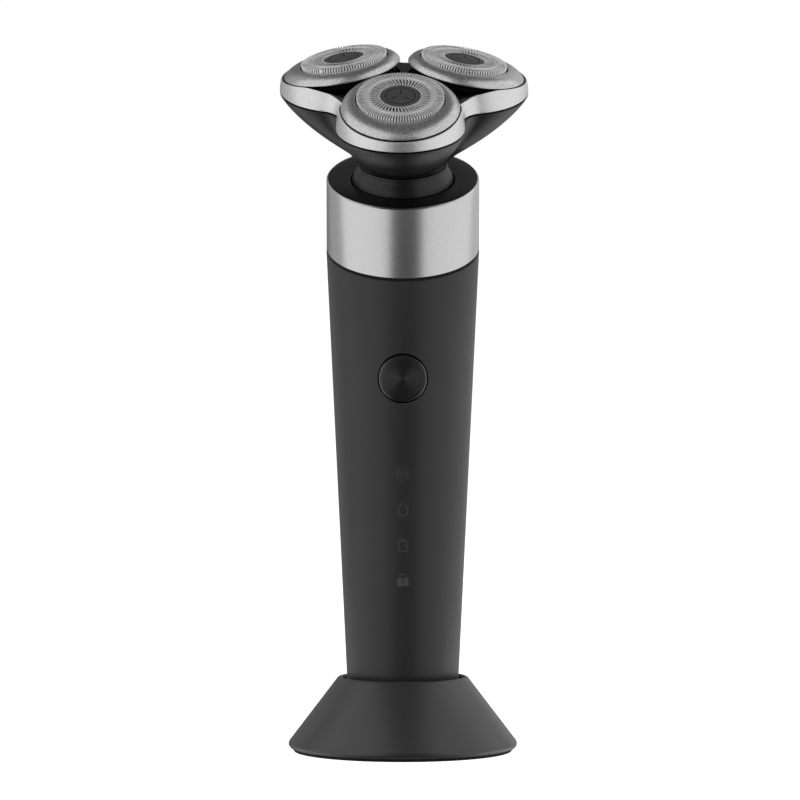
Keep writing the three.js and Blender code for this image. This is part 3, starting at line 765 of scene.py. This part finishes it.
def bowl_radius(angle, z):
    """The bowl grows out of its round foot, fast at first, into the three lobes of its rim."""
    rise = min(1, max(0, (z - BOWL_BOTTOM) / (BOWL_TOP - BOWL_BOTTOM)))
    spread = (1 - (1 - rise) ** 1.2) ** 0.61
    lobe = 4.2 + (outline_radius(angle) - 4.2) * spread
    return (lobe**6 + BOWL_FOOT_RADIUS**6) ** (1 / 6)


def band_inset(z):
    """The band's side curves inwards as it rises, towards the dishes."""
    return 1.05 * max(0, (z - BAND_BOTTOM) / 5.2) ** 1.7


def band_top(angle):
    """The upper edge lies along the planes of the leaning dishes, and dips between the lobes."""
    off_lobe = angle_from_lobe(angle)
    outward = (outline_radius(angle) - 0.6) * math.cos(off_lobe) - DISH_DISTANCE
    dip = 3.2 * smoothstep(off_lobe, math.radians(36), math.radians(60))
    return DISH_HEIGHT - 0.15 - outward * math.tan(DISH_LEAN) - dip


def build_housing():
    steps = 40
    opening = 6.8
    floor = BOWL_BOTTOM + BOWL_WALL

    def bowl_section(angle):
        height = BOWL_TOP - 0.25 - BOWL_BOTTOM
        heights = [BOWL_BOTTOM + height * i / steps for i in range(steps + 1)]
        outside = [(bowl_radius(angle, z), z) for z in heights]
        rim = bowl_radius(angle, BOWL_TOP)
        inside = [(bowl_radius(angle, z) - BOWL_WALL, z) for z in reversed(heights[6:])]
        return [
            (opening, BOWL_BOTTOM),
            (BOWL_FOOT_RADIUS - 0.4, BOWL_BOTTOM - 0.02),
            *outside,
            (rim - 0.04, BOWL_TOP - 0.08),
            (rim - 0.25, BOWL_TOP),
            (rim - BOWL_WALL, BOWL_TOP),
            *inside,
            (opening, floor),
        ]

    bowl = swept("head_bowl", "head", "dark_plastic", bowl_section, 360, HEAD)
    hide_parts("head_lower_housing")

    def band_section(angle):
        rim = outline_radius(angle)
        top = band_top(angle)
        rise = 10
        height = top - BAND_BOTTOM - 0.27
        heights = [BAND_BOTTOM + 0.12 + height * i / rise for i in range(rise + 1)]
        outside = [(rim - band_inset(z), z) for z in heights]
        tip = rim - band_inset(top)
        return [
            (rim - 0.9, BAND_BOTTOM),
            (rim - 0.12, BAND_BOTTOM),
            *outside,
            (tip - 0.05, top - 0.05),
            (tip - 0.15, top),
            (tip - 0.35, top),
            (tip - 0.45, top - 0.2),
            (rim - 0.95, BAND_BOTTOM + 1.5),
        ]

    band = swept("silver_band", "head", "grain_metal", band_section, 360, HEAD)
    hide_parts("trim_band")


def build_deck():
    """The dark deck inside the band, with a round well for each dish and a floor over the gears."""
    low, high, edge = 19.95, 24.1, 0.3
    inset = 1.6

    def block_section(angle):
        rim = outline_radius(angle) - inset
        return [(0, low), (rim, low), (rim, high - edge), (rim - edge, high), (0, high)]

    deck = swept("deck", "head", "dark_plastic", block_section, 240, HEAD)
    for lobe in LOBES:
        for radius, offset, bottom in ((13.9, 0.6, -12), (15.1, RIM_OFFSET, -2.4)):
            outwards = Matrix.Translation((0, -offset * MM, 0))
            cut_away(deck, loose_cylinder(radius, bottom, 20, DISHES[lobe] @ outwards))
    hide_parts("head_deck")

    def floor_section(angle):
        rim = outline_radius(angle) - 2.8
        return [(0, 19.1), (rim, 19.1), (rim, 20.3), (0, 20.3)]

    floor = swept("deck_floor", "head", "dark_plastic", floor_section, 180, HEAD)
    for lobe in LOBES:
        ball = DISHES[lobe] @ Matrix.Translation((0, 0, -BALL_DEPTH * MM))
        hole = HEAD.to_3x3().to_4x4()
        hole.translation = ball.translation
        cut_away(floor, loose_cylinder(5.2, -6, 2, hole, 64))


build_housing()
build_deck()


# ---------- dishes, guards and caps ----------
OUTER_SLOTS = 96
OUTER_PITCH = 5  # sectors from one slot to the next
OUTER_GAP = 2  # sectors that are open; the first slot stays shut
INNER_SLOTS = 50
SHEET = 0.2  # thickness of the guard's steel


def eccentric(profile):
    """A section function: the circles of the profile shift outwards as they widen."""

    def section(angle):
        points = []
        for radius, height in profile:
            share = max(0, (radius - DISH_BORE) / (DISH_RADIUS - DISH_BORE))
            shift = RIM_OFFSET * share
            reach = math.sqrt(radius**2 - (shift * math.cos(angle)) ** 2)
            points.append((reach - shift * math.sin(angle), height))
        return points

    return section


def build_dish(lobe):
    """A silver dome round the guard, over a dark skirt that floats in the deck's well."""
    body = f"shaving_dish_{lobe}"
    place = DISHES[lobe]
    dome = bezier((DISH_RADIUS - 0.1, 0.2), (13.4, 1.85), (DISH_BORE + 0.1, 2.03), 12)
    profile = [
        (DISH_BORE, 0.4),
        (12.2, 0.3),
        (14.2, -0.25),
        (DISH_RADIUS - 0.12, -0.2),
        (DISH_RADIUS, -0.1),
        (DISH_RADIUS, 0.02),
        *dome,
        (DISH_BORE, 1.95),
    ]
    ring = swept(f"dish_dome_{lobe}", body, "dish_metal", eccentric(profile), 224, place)
    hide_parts(f"dish_{lobe}")
    skirt = rounded(
        [
            (11.9, -2.4, 0.1),
            (12.8, -2.4, 0.3),
            (13.3, -0.9, 0.3),
            (14.1, -0.4, 0.05),
            (14.05, -0.3, 0),
            (12.2, 0.22, 0),
            (11.9, 0.22, 0),
        ]
    )
    swept(f"dish_skirt_{lobe}", body, "black_plastic", eccentric(skirt), 160, place)


def slotted(rings, sectors, is_slot, twist):
    """A polar sheet of (radius, height) rings, with faces left out where is_slot says so."""
    vertices, faces = [], []
    for r, z in rings:
        for sector in range(sectors):
            angle = 2 * math.pi * sector / sectors + twist(r)
            vertices.append((r * math.cos(angle), r * math.sin(angle), z))
    for ring in range(len(rings) - 1):
        for sector in range(sectors):
            if is_slot(ring, sector):
                continue
            there = (sector + 1) % sectors
            low, high = ring * sectors, (ring + 1) * sectors
            faces.append([low + sector, low + there, high + there, high + sector])
    return vertices, faces


def thick_sheet(name, body, slot, sheet, thickness, place):
    """A piece made by giving a sheet its thickness, on the side that faces into the dish."""
    vertices, faces = sheet
    piece = make_piece(name, body, slot, vertices, faces, place)
    solid = piece.modifiers.new("thickness", "SOLIDIFY")
    solid.thickness = thickness * MM
    solid.offset = -1
    solid.use_even_offset = True
    edge = piece.modifiers.new("edge", "BEVEL")
    edge.width = 0.11 * MM
    edge.segments = 2
    edge.limit_method = "ANGLE"
    edge.angle_limit = math.radians(50)
    return piece


def build_guard(lobe):
    """The perforated steel cap.

    Fine slots run over its rim, and there is a second track of them inside a raised ring.
    """
    body = f"shaving_dish_{lobe}"
    place = DISHES[lobe]
    top = GUARD_HEIGHT
    rim = [
        (8.3, top),
        (8.95, top),
        (9.6, top),
        (GUARD_RADIUS - 0.3, top - 0.02),
        (GUARD_RADIUS - 0.1, top - 0.1),
        (GUARD_RADIUS, top - 0.32),
        (GUARD_RADIUS, top - 1.0),
        (GUARD_RADIUS, 0.1),
    ]
    sectors = OUTER_SLOTS * OUTER_PITCH
    outer = slotted(
        rim,
        sectors,
        lambda ring, sector: 1 <= ring <= 5 and sector % OUTER_PITCH < OUTER_GAP <= sector,
        lambda r: -math.pi / sectors,
    )
    guard = thick_sheet(f"guard_rim_{lobe}", body, "guard_steel", outer, SHEET, place)
    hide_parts(f"guard_{lobe}")

    inner_rings = [(5.0, top - 0.35), (5.02, top - 0.06), (5.15, top), (7.4, top), (8.45, top)]
    inner = slotted(
        inner_rings,
        INNER_SLOTS * 2,
        lambda ring, sector: ring in (1, 2) and sector % 2 == 0,
        lambda r: (r - 5) * 0.035,
    )
    thick_sheet(f"guard_track_{lobe}", body, "guard_steel", inner, SHEET, place)
    turned(
        f"guard_bead_{lobe}",
        body,
        "guard_steel",
        [
            (8.0, top - 0.15, 0),
            (8.4, top - 0.15, 0),
            (8.4, top + 0.12, 0.1),
            (8.0, top + 0.12, 0.1),
        ],
        160,
        place,
    )


def build_cap(lobe):
    """The plain centre cap, with one turned groove and three short straight ones."""
    top = GUARD_HEIGHT
    cap = turned(
        f"cap_{lobe}",
        f"shaving_dish_{lobe}",
        "inner_plastic",
        [
            (0, top - 0.9, 0),
            (4.85, top - 0.9, 0.1),
            (4.85, top - 0.15, 0.15),
            (3.85, top - 0.12, 0.03),
            (3.8, top - 0.4, 0.02),
            (3.45, top - 0.4, 0.02),
            (3.4, top - 0.12, 0.03),
            (0, top - 0.1, 0),
        ],
        128,
        DISHES[lobe],
    )
    for k in range(3):
        turn = Matrix.Rotation(k * LOBE_TURN, 4, "Z")
        for step in range(5):
            spot = turn @ Matrix.Translation((0, (1.1 + 0.3 * step) * MM, 0))
            cut_away(cap, loose_cylinder(0.24, top - 0.35, top + 1, DISHES[lobe] @ spot, 12))
    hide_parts(f"centre_cap_{lobe}")


for lobe in LOBES:
    build_dish(lobe)
    build_guard(lobe)
    build_cap(lobe)


# ---------- floor, lights and camera ----------
def build_floor():
    mesh = bpy.data.meshes.new("floor")
    half = 8.0
    corners = [(-half, -half, 0), (half, -half, 0), (half, half, 0), (-half, half, 0)]
    mesh.from_pydata(corners, [], [(0, 1, 2, 3)])
    floor = bpy.data.objects.new("floor", mesh)
    bpy.context.scene.collection.objects.link(floor)
    paint = bpy.data.materials.new("pale_floor")
    paint.use_nodes = True
    shader = paint.node_tree.nodes["Principled BSDF"]
    shader.inputs["Base Color"].default_value = (0.9, 0.9, 0.9, 1)
    shader.inputs["Roughness"].default_value = 0.9
    shader.inputs["Specular IOR Level"].default_value = 0.0
    shader.inputs["Emission Color"].default_value = (1, 1, 1, 1)
    shader.inputs["Emission Strength"].default_value = 1.0
    mesh.materials.append(paint)
    # the floor is seen but gives the shaver no light from below
    floor.visible_diffuse = floor.visible_glossy = False
    floor.visible_transmission = floor.visible_shadow = False


def softbox(name, azimuth, elevation, half_width, half_height, radiance):
    """An area light that faces the shaver, with place and half sizes as angles in degrees.

    Azimuth 0 is in front of the shaver, and 90 to its right.
    """
    distance = 0.7
    data = bpy.data.lights.new(name, "AREA")
    data.shape = "RECTANGLE"
    data.size = 2 * distance * math.tan(math.radians(half_width))
    data.size_y = 2 * distance * math.tan(math.radians(half_height))
    data.energy = radiance * math.pi * data.size * data.size_y
    light = bpy.data.objects.new(name, data)
    bpy.context.scene.collection.objects.link(light)
    target = Vector((0, 0, 0.1))
    turn, rise = math.radians(azimuth), math.radians(elevation)
    level = math.cos(rise)
    away = Vector((math.sin(turn) * level, -math.cos(turn) * level, math.sin(rise)))
    light.location = target + away * distance
    light.rotation_euler = (-away).to_track_quat("-Z", "Y").to_euler()
    light.visible_camera = False


def build_world():
    """White behind the shaver, and a dim even light from all round."""
    world = bpy.data.worlds.new("studio")
    bpy.context.scene.world = world
    world.use_nodes = True
    nodes, links = world.node_tree.nodes, world.node_tree.links
    background = nodes["Background"]
    background.inputs["Color"].default_value = (1, 1, 1, 1)
    # darker in front of the shaver than behind it
    direction = nodes.new("ShaderNodeTexCoord")
    parts = nodes.new("ShaderNodeSeparateXYZ")
    fade = nodes.new("ShaderNodeMapRange")
    fade.inputs["From Min"].default_value = -1
    fade.inputs["To Min"].default_value = 0.05
    fade.inputs["To Max"].default_value = 0.17
    links.new(direction.outputs["Generated"], parts.inputs["Vector"])
    links.new(parts.outputs["Y"], fade.inputs["Value"])
    links.new(fade.outputs["Result"], background.inputs["Strength"])
    backdrop = nodes.new("ShaderNodeBackground")
    backdrop.inputs["Color"].default_value = (1, 1, 1, 1)
    backdrop.inputs["Strength"].default_value = 1.0
    mix = nodes.new("ShaderNodeMixShader")
    rays = nodes.new("ShaderNodeLightPath")
    links.new(rays.outputs["Is Camera Ray"], mix.inputs["Fac"])
    links.new(background.outputs["Background"], mix.inputs[1])
    links.new(backdrop.outputs["Background"], mix.inputs[2])
    links.new(mix.outputs["Shader"], nodes["World Output"].inputs["Surface"])


def build_camera():
    """Level with the top of the head and far away, looking a little down."""
    data = bpy.data.cameras.new("camera")
    data.lens = 271.2
    data.sensor_width = 36
    data.clip_end = 100
    camera = bpy.data.objects.new("camera", data)
    bpy.context.scene.collection.objects.link(camera)
    spot = Vector((-0.0007, -1.5, 0.1602))
    target = Vector((-0.0007, 0, 0.0877))
    camera.location = spot
    camera.rotation_euler = (target - spot).to_track_quat("-Z", "Y").to_euler()
    bpy.context.scene.camera = camera


build_floor()
softbox("softbox_left", -62, 8, 43, 54, 0.74)
softbox("softbox_right", 76, 8, 48, 54, 0.7)
softbox("rim_left", -126, 14, 20, 42, 0.22)
softbox("rim_right", 144, 10, 22, 42, 0.38)
softbox("front_fill", 0, 32, 18, 12, 0.2)
softbox("bounce_left", -124, -40, 20, 18, 0.7)
softbox("bounce_right", 124, -40, 20, 18, 0.8)
build_world()
build_camera()
bpy.context.scene.view_settings.view_transform = "Standard"
